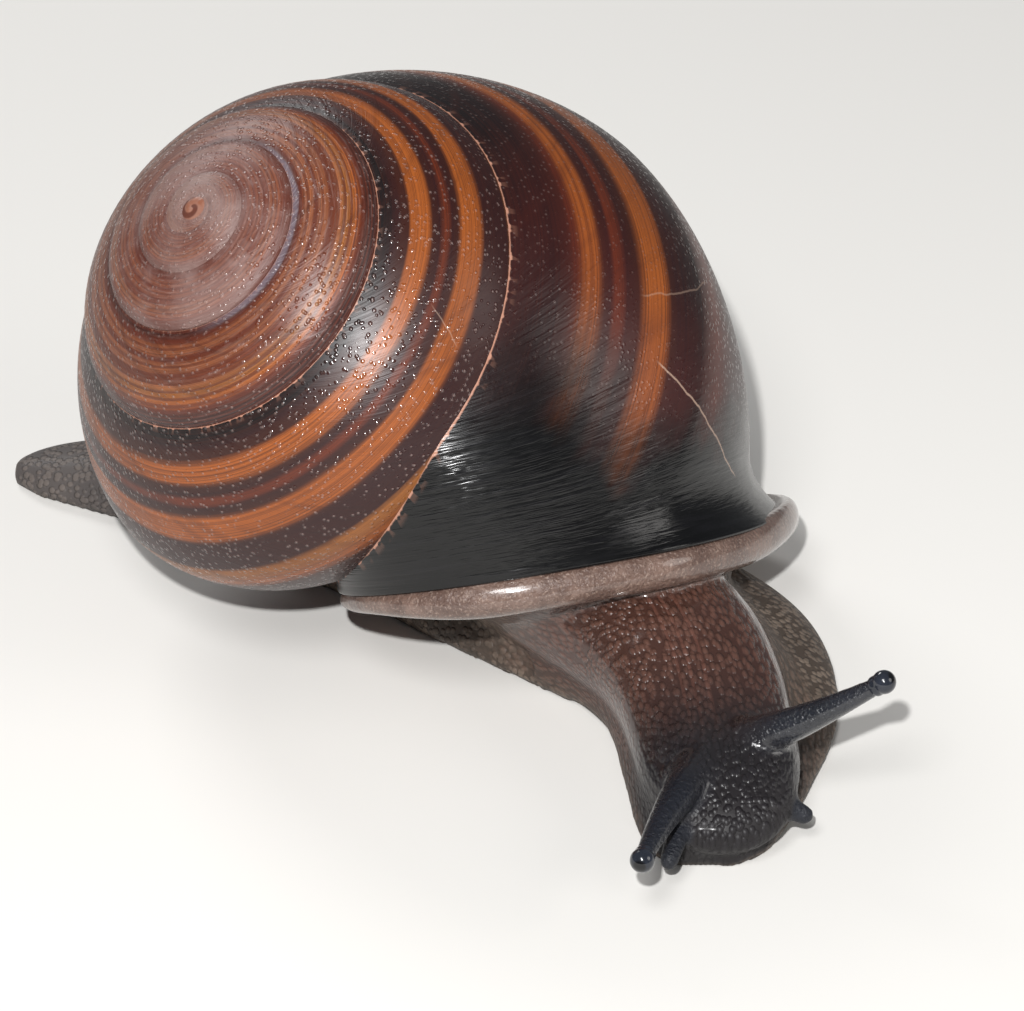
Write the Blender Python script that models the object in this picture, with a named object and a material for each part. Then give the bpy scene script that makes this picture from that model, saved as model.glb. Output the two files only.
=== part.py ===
"""Banded land snail, crawling with head and feelers out, as a still life-size model.

The sole lies flat on z = 0. The head points towards -Y, the animal's left is +X, and the
shell is carried on the middle of the foot, leaning back and to the animal's right.
All values are millimetres and are scaled to metres when a mesh is written.
"""
import math

import bmesh
import bpy
from mathutils import Matrix, Vector

MM = 0.001
GAP = 0.3                       # free space between neighbouring solids
WELD = 0.004                    # points closer than this are one point
BLOCK = 160.0                   # side of the block that makes a plane cut

# Shell: a ring that turns about the axis and grows, with t in whorls and the lip near t = 0
APEX = Vector((-14.32, 6.62, 26.05))
AXIS_TURN, AXIS_TILT, LIP_TURN = 171.31, 39.78, 28.35    # degrees about Z, Y and Z
GROWTH, GROWTH_FADE = 0.2594, 0.0461                     # log of the width gained per whorl
RISE_POWER = 2.231              # heights grow as this power of the widths
RING_RADIUS, RING_DEPTH = 9.710, 24.30                   # centre of the ring at the lip
RING_WIDE, RING_TALL = 9.339, 16.506                     # its half sizes
RING_TILT = 0.0496              # radians
RING_POWER = 1.611              # 2 is an ellipse, less is more pointed at the four ends
YOUNG_RISE = 0.2                # least height of a young whorl, of its width
LAST_DROP, DROP_TURNS = 10.02, 0.1586                    # the last whorl drops before the lip
FIRST_TURN, SPLIT_TURN = -4.72, -0.93
RING_POINTS, BODY_STEPS, SPIRE_STEPS = 24, 23, 58
COLUMELLA_RADIUS, COLUMELLA_DEPTH = 1.3, 20.5           # the pillar of the older whorls
NUCLEUS_RADIUS = 1.05
SHELL_FLOOR = 1.5               # the lowest point of the shell

# Aperture: every point of the lip lies in one plane
LIP_POINT = Vector((-6.66, -9.84, 8.98))
LIP_NORMAL = Vector((0.2214, 0.4299, 0.8753)).normalized()
LIP_CENTRE = Vector((-3.2, -5.6, 6.0))
LIP_DEPTH = 1.5                 # thickness of the lip's solid
FLARE, FLARE_DEPTH = 2.3, 3.2   # how far the lower lip turns out, and over what depth
COLLAR_DEPTH, COLLAR_FLOOR, COLLAR_THIN_END = 2.0, 0.9, 0.6

# Foot: x, y, half width, height of the crown, from the tail's tip to the front edge
FOOT = (
    (-9.6, 26.3, 0.7, 0.9), (-8.6, 25.1, 2.0, 1.4), (-6.9, 22.8, 3.0, 1.9), (-4.8, 19.1, 3.9, 2.4),
    (-2.3, 13.2, 4.9, 3.2), (0.0, 6.2, 6.1, 4.2), (1.3, -1.1, 7.0, 4.6), (2.1, -7.7, 7.3, 3.8),
    (2.0, -11.9, 7.1, 3.0), (-0.6, -16.5, 6.1, 2.4), (-4.7, -20.1, 4.9, 2.1),
    (-7.9, -22.5, 3.9, 1.8), (-9.7, -23.9, 3.0, 1.4), (-10.6, -24.7, 1.6, 1.0),
)
FOOT_EDGE = 0.75                # thickness of the foot's margin
FOOT_STATIONS, FOOT_POINTS = 28, 11

# Neck and head: x, y, height of the axis, half width, rise above it, depth below it
NECK = (
    (-0.9, -2.0, 3.6, 3.6, 2.4, 2.4), (-1.2, -6.0, 4.0, 4.6, 3.2, 2.8), (-1.5, -10.5, 4.2, 4.8, 3.4, 2.9),
    (-2.0, -14.2, 4.1, 4.7, 3.3, 2.9), (-3.4, -17.4, 3.8, 4.4, 2.6, 2.7), (-5.2, -20.0, 3.4, 4.2, 2.0, 2.5),
    (-7.0, -22.3, 3.0, 4.1, 1.9, 2.2), (-8.7, -24.2, 2.5, 3.5, 1.6, 1.8), (-9.9, -25.5, 2.0, 2.6, 1.1, 1.3),
    (-10.5, -26.2, 1.7, 1.2, 0.5, 0.7),
)
NECK_STATIONS, NECK_POINTS, NECK_POWER = 16, 18, 2.3

# Trunk: a funnel from an oval on the foot up to a wider oval inside the collar
TRUNK_FOOT, TRUNK_FOOT_HALF = Vector((0.9, -5.6, 1.2)), (5.6, 8.2)
TRUNK_BRIM, TRUNK_BRIM_HALF = Vector((-0.3, -6.0, 0.0)), (10.6, 7.2)
TRUNK_STATIONS, TRUNK_POINTS = 6, 24

# Thin cuts that part the flesh, as distances along the foot's spine from its front edge
HEAD_CUT, NECK_CUT, TRUNK_CUT = 7.6, 13.6, 35.0
SOLE_CUT = 1.7                  # height of the groove between foot and body

# Feelers: root, bend and tip, radius at the root and below the tip, radius of the bulb
UPPER_FEELERS = {
    "left": ((-5.9, -22.4, 3.9), (-4.5, -25.4, 5.7), (-2.56, -28.9, 8.9), 1.25, 0.42, 0.64),
    "right": ((-8.2, -22.2, 3.7), (-12.6, -23.9, 4.2), (-16.9, -26.3, 4.3), 1.2, 0.44, 0.65),
}
LOWER_FEELERS = {
    "left": ((-8.2, -24.8, 2.5), (-7.3, -25.9, 2.2), (-6.5, -26.7, 1.9), 0.62, 0.40),
    "right": ((-10.8, -24.2, 2.2), (-12.3, -24.8, 2.2), (-13.7, -25.4, 1.7), 0.70, 0.46),
}
FEELER_STATIONS, FEELER_POINTS = 8, 10

SHELL_FRAME = (Matrix.Rotation(math.radians(AXIS_TURN), 3, "Z")
               @ Matrix.Rotation(math.radians(AXIS_TILT), 3, "Y")
               @ Matrix.Rotation(math.radians(LIP_TURN), 3, "Z"))


def smooth(low, high, value):
    """0 below low, 1 above high, eased between them; low may be the larger."""
    part = min(1.0, max(0.0, (value - low) / (high - low)))
    return part * part * (3.0 - 2.0 * part)


def material(name, colour, roughness):
    made = bpy.data.materials.new(name)
    made.use_nodes = True
    shader = made.node_tree.nodes["Principled BSDF"]
    shader.inputs["Base Color"].default_value = (*colour, 1.0)
    shader.inputs["Roughness"].default_value = roughness
    shader.inputs["Metallic"].default_value = 0.0
    return made


def add_object(name, mesh):
    made = bpy.data.objects.new(name, mesh)
    bpy.context.scene.collection.objects.link(made)
    return made


def solid(name, rings):
    """A closed body skinned over rings of equal length, given in millimetres."""
    bm = bmesh.new()
    loops = [[bm.verts.new(Vector(point) * MM) for point in ring] for ring in rings]
    count = len(loops[0])
    for lower, upper in zip(loops, loops[1:]):
        for i in range(count):
            j = (i + 1) % count
            bm.faces.new((lower[i], lower[j], upper[j], upper[i]))
    bm.faces.new(loops[0])
    bm.faces.new(loops[-1])
    bmesh.ops.triangulate(bm, faces=bm.faces)
    bmesh.ops.recalc_face_normals(bm, faces=bm.faces)
    mesh = bpy.data.meshes.new(name)
    bm.to_mesh(mesh)
    bm.free()
    return add_object(name, mesh)


def combine(target, operation, other, own_overlap=False):
    """Apply one exact Boolean to the target and remove the other body."""
    step = target.modifiers.new(operation.title(), "BOOLEAN")
    step.operation = operation
    step.solver = "EXACT"
    step.use_self = own_overlap
    step.object = other
    result = bpy.data.meshes.new_from_object(
        target.evaluated_get(bpy.context.evaluated_depsgraph_get()))
    target.modifiers.clear()
    target.data = result
    bpy.data.objects.remove(other)
    tidy(target)
    return target


def tidy(target):
    """Weld the points that a Boolean leaves and keep the largest closed body."""
    bm = bmesh.new()
    bm.from_mesh(target.data)
    bmesh.ops.remove_doubles(bm, verts=bm.verts, dist=WELD * MM)
    bmesh.ops.dissolve_degenerate(bm, edges=bm.edges, dist=WELD * MM)
    left = set(bm.faces)
    bodies = []
    while left:
        stack = [left.pop()]
        body = list(stack)
        while stack:
            for edge in stack.pop().edges:
                for face in edge.link_faces:
                    if face in left:
                        left.remove(face)
                        stack.append(face)
                        body.append(face)
        bodies.append(body)
    bodies.sort(key=lambda body: -sum(face.calc_area() for face in body))
    small = [face for body in bodies[1:] for face in body]
    bmesh.ops.delete(bm, geom=small, context="FACES")
    bmesh.ops.triangulate(bm, faces=bm.faces)
    bmesh.ops.recalc_face_normals(bm, faces=bm.faces)
    bm.to_mesh(target.data)
    bm.free()


def keep_side(target, point, normal):
    """Cut the target with a plane and keep the side that the normal points to."""
    normal = Vector(normal).normalized()
    bm = bmesh.new()
    bmesh.ops.create_cube(bm, size=BLOCK * MM)
    turn = normal.to_track_quat("Z", "Y").to_matrix().to_4x4()
    centre = (Vector(point) - normal * BLOCK / 2) * MM
    bmesh.ops.transform(bm, matrix=Matrix.Translation(centre) @ turn, verts=bm.verts)
    mesh = bpy.data.meshes.new("block")
    bm.to_mesh(mesh)
    bm.free()
    return combine(target, "DIFFERENCE", add_object("block", mesh))


def copy_of(source, name):
    return add_object(name, source.data.copy())


def curve_rows(rows, count):
    """Catmull-Rom samples through the rows, evenly spaced in the row number."""
    samples = []
    for k in range(count):
        place = k * (len(rows) - 1) / (count - 1)
        i = min(int(place), len(rows) - 2)
        u = place - i
        near = [rows[max(0, min(len(rows) - 1, i + j))] for j in (-1, 0, 1, 2)]
        samples.append([0.5 * (2 * b + u * (c - a) + u * u * (2 * a - 5 * b + 4 * c - d)
                               + u ** 3 * (3 * b - a - 3 * c + d))
                        for a, b, c, d in zip(*near)])
    return samples


def headings(places):
    """Unit vectors along a line of points."""
    last = len(places) - 1
    return [(places[min(i + 1, last)] - places[max(i - 1, 0)]).normalized() for i in range(last + 1)]


def power_of(value, power):
    return math.copysign(abs(value) ** power, value)


# ---- shell ----

def growth(turn):
    return math.exp(GROWTH * turn - GROWTH_FADE * turn * turn)


def ring_point(turn, phi, swell=0.0):
    """A point of the shell's surface; phi is 0 outward and 90 degrees towards the apex."""
    across = power_of(math.cos(phi), 2 / RING_POWER)
    along = power_of(math.sin(phi), 2 / RING_POWER)
    size = growth(turn)
    rise = size ** RISE_POWER
    young = (rise ** 4 + (YOUNG_RISE * size) ** 4) ** 0.25
    wide = RING_WIDE * across
    tall = RING_TALL * along
    radius = (RING_RADIUS + wide * math.cos(RING_TILT) - tall * math.sin(RING_TILT)) * size
    height = -RING_DEPTH * rise + wide * math.sin(RING_TILT) * rise + tall * math.cos(RING_TILT) * young
    radius += swell * math.cos(phi)
    height += swell * math.sin(phi)
    height -= LAST_DROP * max(0.0, 1 + turn / DROP_TURNS) ** 2
    angle = -math.tau * turn
    local = Vector((radius * math.cos(angle), radius * math.sin(angle), height))
    return SHELL_FRAME @ local + APEX


def above_lip(point):
    return (point - LIP_POINT).dot(LIP_NORMAL)


def lip_turn(phi, height):
    """The turn at which the surface stands at this height over the plane of the lip."""
    early, late = -0.42, 0.16
    for _ in range(40):
        middle = 0.5 * (early + late)
        if above_lip(ring_point(middle, phi)) > height:
            early = middle
        else:
            late = middle
    return 0.5 * (early + late)


def flared(point, phi, swell=0.0):
    """Turn the lower lip outwards close to the aperture."""
    height = max(0.0, above_lip(point))
    angle = math.degrees(phi)
    angle = angle - 360 if angle > 180 else angle
    reach = FLARE * smooth(38, -35, angle) * smooth(-175, -115, angle)
    outward = point - LIP_CENTRE
    outward -= LIP_NORMAL * outward.dot(LIP_NORMAL)
    return point + outward.normalized() * reach * max(0.0, 1 - height / FLARE_DEPTH) ** 2


PHIS = [math.tau * i / RING_POINTS for i in range(RING_POINTS)]


def body_rings(from_height, swell=0.0):
    """The last whorl, whose rings lean from the radial plane into the plane of the lip."""
    ends = [lip_turn(phi, from_height) for phi in PHIS]
    rings = []
    for k in range(BODY_STEPS + 1):
        part = 1 - (1 - k / BODY_STEPS) ** 1.25
        rings.append([flared(ring_point(SPLIT_TURN + (end - SPLIT_TURN) * part, phi, swell), phi)
                      if part > 0.7 else ring_point(SPLIT_TURN + (end - SPLIT_TURN) * part, phi, swell)
                      for phi, end in zip(PHIS, ends)])
    return rings


def spire_rings(last_turn, swell=0.0):
    """The older whorls; the rings stand closer together on the larger ones."""
    span = last_turn - FIRST_TURN
    return [[ring_point(FIRST_TURN + span * (k / SPIRE_STEPS) ** 0.8, phi, swell) for phi in PHIS]
            for k in range(SPIRE_STEPS + 1)]


def lip_rings(heights, inset=0.0, thin_end=1.0):
    """Slices of the aperture's edge, parallel to the plane of the lip; depths below it shrink to
    the share thin_end where the lip meets the older whorl."""
    rings = []
    for height in heights:
        ring = []
        for phi in PHIS:
            point = ring_point(lip_turn(phi, max(0.0, height)), phi)
            point = flared(point, phi)
            outward = point - LIP_CENTRE
            outward -= LIP_NORMAL * outward.dot(LIP_NORMAL)
            share = 1 - (1 - thin_end) * smooth(30, 58, math.degrees(phi)) * smooth(200, 150, math.degrees(phi))
            ring.append(point - outward.normalized() * inset + LIP_NORMAL * min(0.0, height) * share)
        rings.append(ring)
    return rings


def columella(name, radius):
    """The pillar about which the whorls turn."""
    rings = []
    for depth in (4.0, COLUMELLA_DEPTH + radius - COLUMELLA_RADIUS):
        rings.append([SHELL_FRAME @ Vector((radius * math.cos(a), radius * math.sin(a), -depth)) + APEX
                      for a in (math.tau * i / 10 for i in range(10))])
    return solid(name, rings)


def nucleus(name, radius):
    """The small dome at the apex, where the first whorl starts."""
    bm = bmesh.new()
    bmesh.ops.create_icosphere(bm, subdivisions=2, radius=radius * MM)
    place = Matrix.Translation((APEX + SHELL_FRAME @ Vector((0, 0, -0.32))) * MM) @ SHELL_FRAME.to_4x4()
    bmesh.ops.transform(bm, matrix=place @ Matrix.Diagonal((1, 1, 0.5, 1)), verts=bm.verts)
    mesh = bpy.data.meshes.new(name)
    bm.to_mesh(mesh)
    bm.free()
    return add_object(name, mesh)


def spire(name, last_turn, swell):
    made = solid(name, spire_rings(last_turn, swell))
    combine(made, "UNION", nucleus(name + "_nucleus", NUCLEUS_RADIUS + swell), True)
    return combine(made, "UNION", columella(name + "_pillar", COLUMELLA_RADIUS + swell), True)


def above_floor(target, height):
    return keep_side(target, (0, 0, height), (0, 0, 1))


def make_shell():
    top = spire("shell_spire", SPLIT_TURN - 0.005, 0.0)
    above_floor(top, SHELL_FLOOR)
    keep_side(top, LIP_POINT + LIP_NORMAL * GAP, LIP_NORMAL)
    body = solid("shell_body_whorl", body_rings(LIP_DEPTH + GAP))
    combine(body, "DIFFERENCE", spire("room", SPLIT_TURN - 0.002, GAP))
    above_floor(body, SHELL_FLOOR)
    lip = solid("shell_lip", lip_rings((LIP_DEPTH, 0.9, 0.4, 0.0)))
    combine(lip, "DIFFERENCE", spire("room", SPLIT_TURN - 0.002, GAP))
    above_floor(lip, SHELL_FLOOR)
    return top, body, lip


# ---- flesh ----

def collar_rings(grow=0.0):
    """The mantle's thick edge, which fills the aperture and stands level with the lip."""
    levels = ((-GAP + grow, 0.7 - grow), (-0.6, 0.15 - grow), (-1.1, 0.0 - grow),
              (-1.7, 0.3 - grow), (-COLLAR_DEPTH - grow, 1.1 - grow))
    rings = []
    for height, inset in levels:
        rings.append(lip_rings((height,), inset, COLLAR_THIN_END if height < -GAP - 0.1 else 1.0)[0])
    return rings


def foot_rings():
    rows = curve_rows(FOOT, FOOT_STATIONS)
    places = [Vector((row[0], row[1], 0)) for row in rows]
    rings = []
    for place, ahead, (_, _, half, crown) in zip(places, headings(places), rows):
        side = Vector((ahead.y, -ahead.x, 0))
        ring = [place - side * half * 0.94, place + side * half * 0.94]
        for i in range(FOOT_POINTS):
            a = math.pi * i / (FOOT_POINTS - 1)
            rise = FOOT_EDGE * 0.55 + (crown - FOOT_EDGE * 0.55) * math.sin(a) ** 1.25
            ring.append(place + side * half * power_of(math.cos(a), 0.85) + Vector((0, 0, rise)))
        rings.append(ring)
    return rings


def neck_rings():
    rows = curve_rows(NECK, NECK_STATIONS)
    places = [Vector(row[:3]) for row in rows]
    rings = []
    for place, ahead, (_, _, _, half, rise, depth) in zip(places, headings(places), rows):
        side = Vector((ahead.y, -ahead.x, 0)).normalized()
        up = side.cross(ahead)
        up = up if up.z > 0 else -up
        ring = []
        for i in range(NECK_POINTS):
            a = math.tau * i / NECK_POINTS
            lift = power_of(math.sin(a), 2 / NECK_POWER)
            ring.append(place + side * half * power_of(math.cos(a), 2 / NECK_POWER)
                        + up * lift * (rise if lift > 0 else depth))
        rings.append(ring)
    return rings


def lip_plane_height(x, y):
    offset = Vector((x, y, 0)) - LIP_POINT
    return -(offset.x * LIP_NORMAL.x + offset.y * LIP_NORMAL.y) / LIP_NORMAL.z + LIP_POINT.z


def trunk_rings():
    rings = []
    for k in range(TRUNK_STATIONS):
        part = k / (TRUNK_STATIONS - 1)
        ring = []
        for i in range(TRUNK_POINTS):
            a = math.tau * i / TRUNK_POINTS
            way = Vector((math.cos(a), math.sin(a), 0))
            base = TRUNK_FOOT + Vector((way.x * TRUNK_FOOT_HALF[0], way.y * TRUNK_FOOT_HALF[1], 0))
            brim = TRUNK_BRIM + Vector((way.x * TRUNK_BRIM_HALF[0], way.y * TRUNK_BRIM_HALF[1], 0))
            brim.z = max(lip_plane_height(brim.x, brim.y) - 1.0, TRUNK_FOOT.z + 1.0)
            point = base.lerp(brim, part ** 1.7)
            point.z = base.z + (brim.z - base.z) * part
            ring.append(point)
        rings.append(ring)
    return rings


def make_collar():
    return above_floor(solid("mantle_collar", collar_rings()), COLLAR_FLOOR)


def make_flesh():
    flesh = solid("flesh", foot_rings())
    combine(flesh, "UNION", solid("neck_form", neck_rings()))
    combine(flesh, "UNION", solid("trunk_form", trunk_rings()))
    room = above_floor(solid("collar_room", collar_rings(GAP)), COLLAR_FLOOR - GAP)
    combine(flesh, "DIFFERENCE", room)
    room = above_floor(solid("body_room", body_rings(0.0, GAP) + lip_rings((-GAP,), -GAP)), SHELL_FLOOR - GAP)
    combine(flesh, "DIFFERENCE", room)
    room = above_floor(spire("spire_room", SPLIT_TURN, GAP), SHELL_FLOOR - GAP)
    combine(flesh, "DIFFERENCE", room)
    return flesh


def spine_station(distance):
    """Place and direction at a distance along the foot's spine from the front edge."""
    rows = curve_rows(FOOT, 120)
    places = [Vector((row[0], row[1], 0)) for row in reversed(rows)]
    gone = 0.0
    for here, after in zip(places, places[1:]):
        step = (after - here).length
        if gone + step >= distance:
            way = (after - here) / step
            return here + way * (distance - gone), way
        gone += step
    return places[-1], way


def behind(target, distance, side):
    """Keep what lies behind (side 1) or ahead (side -1) of a cut across the spine."""
    place, way = spine_station(distance)
    return keep_side(target, place + way * side * GAP / 2, way * side)


def over(target, height, side):
    return keep_side(target, (0, 0, height + side * GAP / 2), (0, 0, side))


def part_flesh(flesh):
    nodes = {
        "head": ((None, HEAD_CUT), 1), "neck": ((HEAD_CUT, NECK_CUT), 1), "trunk": ((NECK_CUT, TRUNK_CUT), 1),
        "foot_front": ((None, NECK_CUT), -1), "foot_middle": ((NECK_CUT, TRUNK_CUT), -1),
        "foot_tail": ((TRUNK_CUT, None), 0),
    }
    made = {}
    for name, ((start, end), level) in nodes.items():
        piece = copy_of(flesh, name)
        if start is not None:
            behind(piece, start, 1)
        if end is not None:
            behind(piece, end, -1)
        if level:
            over(piece, SOLE_CUT, level)
        made[name] = piece
    bpy.data.objects.remove(flesh)
    return made


# ---- feelers and eyes ----

def bent_line(root, bend, tip, count):
    """Points on the curve that starts at the root, leans on the bend and ends at the tip."""
    root, bend, tip = Vector(root), Vector(bend), Vector(tip)
    points = []
    for k in range(count):
        u = k / (count - 1)
        points.append(root * (1 - u) ** 2 + bend * 2 * u * (1 - u) + tip * u * u)
    return points


def stalk_rings(points, radius_of):
    ways = headings(points)
    rings = []
    for k, (point, way) in enumerate(zip(points, ways)):
        side = way.cross(Vector((0, 0, 1))).normalized()
        up = side.cross(way)
        radius = radius_of(k / (len(points) - 1))
        rings.append([point + side * radius * math.cos(a) + up * radius * math.sin(a)
                      for a in (math.tau * i / FEELER_POINTS for i in range(FEELER_POINTS))])
    return rings


def upper_feeler(name, spec, grow=0.0):
    root, bend, tip, thick, thin, bulb = spec
    points = bent_line(root, bend, tip, 60)
    reach = (Vector(tip) - Vector(root)).length
    stop = int(59 * (1 - (bulb + GAP - 0.12) / reach))
    points = [points[round(k * stop / (FEELER_STATIONS - 1))] for k in range(FEELER_STATIONS)]
    return solid(name, stalk_rings(points, lambda u: thin + (thick - thin) * (1 - u) ** 1.1 + grow))


def lower_feeler(name, spec, grow=0.0):
    root, bend, tip, thick, thin = spec
    points = bent_line(root, bend, tip, 7)
    way = (points[-1] - points[-2]).normalized()
    rings = stalk_rings(points, lambda u: thick + (thin - thick) * u + grow)
    rings += stalk_rings([points[-1] + way * thin * 0.6, points[-1] + way * thin * 0.95],
                         lambda u: (thin + grow) * (0.78 - 0.4 * u))
    return solid(name, rings)


def eye(name, spec):
    bm = bmesh.new()
    bmesh.ops.create_icosphere(bm, subdivisions=2, radius=spec[5] * MM)
    bmesh.ops.translate(bm, verts=bm.verts, vec=Vector(spec[2]) * MM)
    mesh = bpy.data.meshes.new(name)
    bm.to_mesh(mesh)
    bm.free()
    return add_object(name, mesh)


def make_feelers(flesh_nodes):
    """Each feeler stands in a socket of the flesh, with room all round."""
    for side, spec in UPPER_FEELERS.items():
        upper_feeler("tentacle_upper_" + side, spec)
        eye("eye_" + side, spec)
        for node in ("head", "foot_front"):
            combine(flesh_nodes[node], "DIFFERENCE", upper_feeler("socket", spec, GAP))
    for side, spec in LOWER_FEELERS.items():
        lower_feeler("tentacle_lower_" + side, spec)
        for node in ("head", "foot_front"):
            combine(flesh_nodes[node], "DIFFERENCE", lower_feeler("socket", spec, GAP))


FINISHES = {
    "shell_spire": ((0.30, 0.12, 0.07), 0.32), "shell_body_whorl": ((0.16, 0.05, 0.03), 0.28),
    "shell_lip": ((0.02, 0.018, 0.02), 0.3), "mantle_collar": ((0.20, 0.13, 0.10), 0.45),
    "trunk": ((0.13, 0.09, 0.07), 0.5), "neck": ((0.07, 0.035, 0.028), 0.42), "head": ((0.03, 0.022, 0.024), 0.4),
    "foot_front": ((0.08, 0.055, 0.045), 0.5), "foot_middle": ((0.15, 0.11, 0.09), 0.5),
    "foot_tail": ((0.16, 0.12, 0.10), 0.5), "tentacle_upper": ((0.018, 0.018, 0.024), 0.35),
    "tentacle_lower": ((0.03, 0.03, 0.035), 0.4), "eye": ((0.01, 0.012, 0.02), 0.12),
}


def main():
    for old in list(bpy.data.objects):
        bpy.data.objects.remove(old)
    make_shell()
    make_collar()
    make_feelers(part_flesh(make_flesh()))
    for made in bpy.context.scene.objects:
        key = next(name for name in FINISHES if made.name.startswith(name))
        colour, roughness = FINISHES[key]
        made.data.materials.clear()
        made.data.materials.append(material(made.name, colour, roughness))
        made.data.shade_smooth()
        made.data.set_sharp_from_angle(angle=math.radians(50))


if __name__ == "__main__":
    main()
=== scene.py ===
import math

import bmesh
import bpy
import numpy as np
from mathutils import Matrix, Vector


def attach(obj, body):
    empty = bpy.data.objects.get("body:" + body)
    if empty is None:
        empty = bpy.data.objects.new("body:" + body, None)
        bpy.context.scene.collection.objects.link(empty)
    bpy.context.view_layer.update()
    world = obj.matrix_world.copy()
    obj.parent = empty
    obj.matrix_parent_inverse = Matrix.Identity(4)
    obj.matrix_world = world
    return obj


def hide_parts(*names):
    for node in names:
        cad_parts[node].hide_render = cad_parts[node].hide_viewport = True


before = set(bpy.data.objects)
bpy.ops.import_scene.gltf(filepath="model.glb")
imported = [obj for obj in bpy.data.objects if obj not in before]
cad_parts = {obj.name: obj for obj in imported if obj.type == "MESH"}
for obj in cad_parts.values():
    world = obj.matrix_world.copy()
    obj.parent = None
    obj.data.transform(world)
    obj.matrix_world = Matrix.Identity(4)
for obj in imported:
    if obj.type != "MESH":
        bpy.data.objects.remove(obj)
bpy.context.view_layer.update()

MM = 0.001

# ---- the shell's form: a ring that turns about the axis and grows; a turn is in whorls, 0 near the lip ----
APEX = Vector((-14.32, 6.62, 26.05))
SHELL_FRAME = (Matrix.Rotation(math.radians(171.31), 3, "Z")
               @ Matrix.Rotation(math.radians(39.78), 3, "Y")
               @ Matrix.Rotation(math.radians(28.35), 3, "Z"))
GROWTH, GROWTH_FADE, RISE_POWER = 0.2594, 0.0461, 2.231
RING_RADIUS, RING_DEPTH, RING_WIDE, RING_TALL = 9.710, 24.30, 9.339, 16.506
RING_TILT, RING_POWER, YOUNG_RISE = 0.0496, 1.611, 0.2
LAST_DROP, DROP_TURNS = 10.02, 0.1586
FIRST_TURN, LAST_WHORL, FLARE_TURN = -5.6, -1.1, -0.4    # where rings start, lean and flare
OLD_CROWDING, LAST_CROWDING = 0.85, 1.3
LIP_POINT = Vector((-6.66, -9.84, 8.98))
LIP_NORMAL = Vector((0.2214, 0.4299, 0.8753)).normalized()
LIP_CENTRE = Vector((-3.2, -5.6, 6.0))
FLARE, FLARE_DEPTH = 2.3, 3.2
SHELL_FLOOR = 1.5
LIP_WALL = 0.45                 # thickness of the shell's edge
RING_STEPS, LAST_STEPS, OLD_STEPS, EDGE_STEPS = 132, 260, 330, 9
EDGE_CURVE = 5                  # how many of the edge's steps round it
NUCLEUS_RADIUS, NUCLEUS_SINK, NUCLEUS_FLATNESS = 1.2, -0.30, 0.46
COIL_PITCH, COIL_EYE, COIL_RELIEF = 0.8, 0.06, 0.035

# ---- the flesh: rows through which the forms are drawn ----
FOOT = (                        # x, y, half width, height of the crown
    (-9.6, 26.3, 0.7, 0.9), (-8.6, 25.1, 2.0, 1.4), (-6.9, 22.8, 3.0, 1.9), (-4.8, 19.1, 3.9, 2.4),
    (-2.3, 13.2, 4.9, 3.2), (0.0, 6.2, 6.1, 4.2), (1.3, -1.1, 7.0, 4.6), (2.1, -7.7, 7.3, 3.8),
    (2.0, -11.9, 7.1, 3.0), (-0.6, -16.5, 6.1, 2.4), (-4.7, -20.1, 4.9, 2.1),
    (-7.9, -22.5, 3.9, 1.8), (-9.7, -23.9, 3.0, 1.4), (-10.6, -24.7, 1.6, 1.0),
)
FOOT_EDGE = 0.75
NECK = (                        # x, y, height of the axis, half width, rise above it, depth below it
    (-0.9, -2.0, 3.6, 3.6, 2.4, 2.4), (-1.2, -6.0, 4.0, 4.6, 3.2, 2.8), (-1.5, -10.5, 4.2, 4.8, 3.4, 2.9),
    (-2.0, -14.2, 4.1, 4.7, 3.3, 2.9), (-3.4, -17.4, 3.8, 4.4, 2.6, 2.7), (-5.2, -20.0, 3.4, 4.2, 2.0, 2.5),
    (-7.0, -22.3, 3.0, 4.1, 1.9, 2.2), (-8.7, -24.2, 2.5, 3.5, 1.6, 1.8), (-9.9, -25.5, 2.0, 2.6, 1.1, 1.3),
    (-10.5, -26.2, 1.7, 1.2, 0.5, 0.7),
)
NECK_POWER = 2.3
TRUNK_FOOT, TRUNK_FOOT_HALF = Vector((0.9, -5.6, 1.2)), (5.6, 8.2)
TRUNK_BRIM, TRUNK_BRIM_HALF = Vector((-0.3, -6.0, 0.0)), (10.6, 7.2)
COLLAR_DEPTH, COLLAR_FLOOR, COLLAR_THIN_END = 2.0, 0.9, 0.6
COLLAR_BRIM = 0.75              # how far the collar wraps out round the flare of the lip
UPPER_FEELERS = {               # root, bend, tip, radius at the root, at the tip, of the bulb
    "left": ((-5.9, -22.4, 3.9), (-4.5, -25.4, 5.7), (-2.56, -28.9, 8.9), 1.25, 0.42, 0.60),
    "right": ((-8.2, -22.2, 3.7), (-12.6, -23.9, 4.2), (-16.9, -26.3, 4.3), 1.2, 0.44, 0.61),
}
LOWER_FEELERS = {
    "left": ((-7.0, -24.8, 2.6), (-6.6, -26.1, 2.4), (-5.95, -27.0, 1.8), 0.68, 0.50),
    "right": ((-10.9, -23.5, 2.6), (-12.5, -24.4, 2.3), (-13.6, -25.0, 1.9), 0.66, 0.46),
}
FEELER_CAP, FEELER_CAP_SHARE = 0.94, 0.06    # where a feeler's round end starts, and its share
SKIRT_START, SKIRT_REACH = 0.14, 0.78
SKIN_VOXEL = 0.17
SKIN_RELIEF = 0.00010           # height of a tubercle, in metres
FOLD_EASING, ROOT_EASING, BODY_EASING, SKIN_EASING = 34, 14, 5, 4
SOLE_HEIGHT = 0.12              # skin lower than this lies flat on the floor

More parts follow.
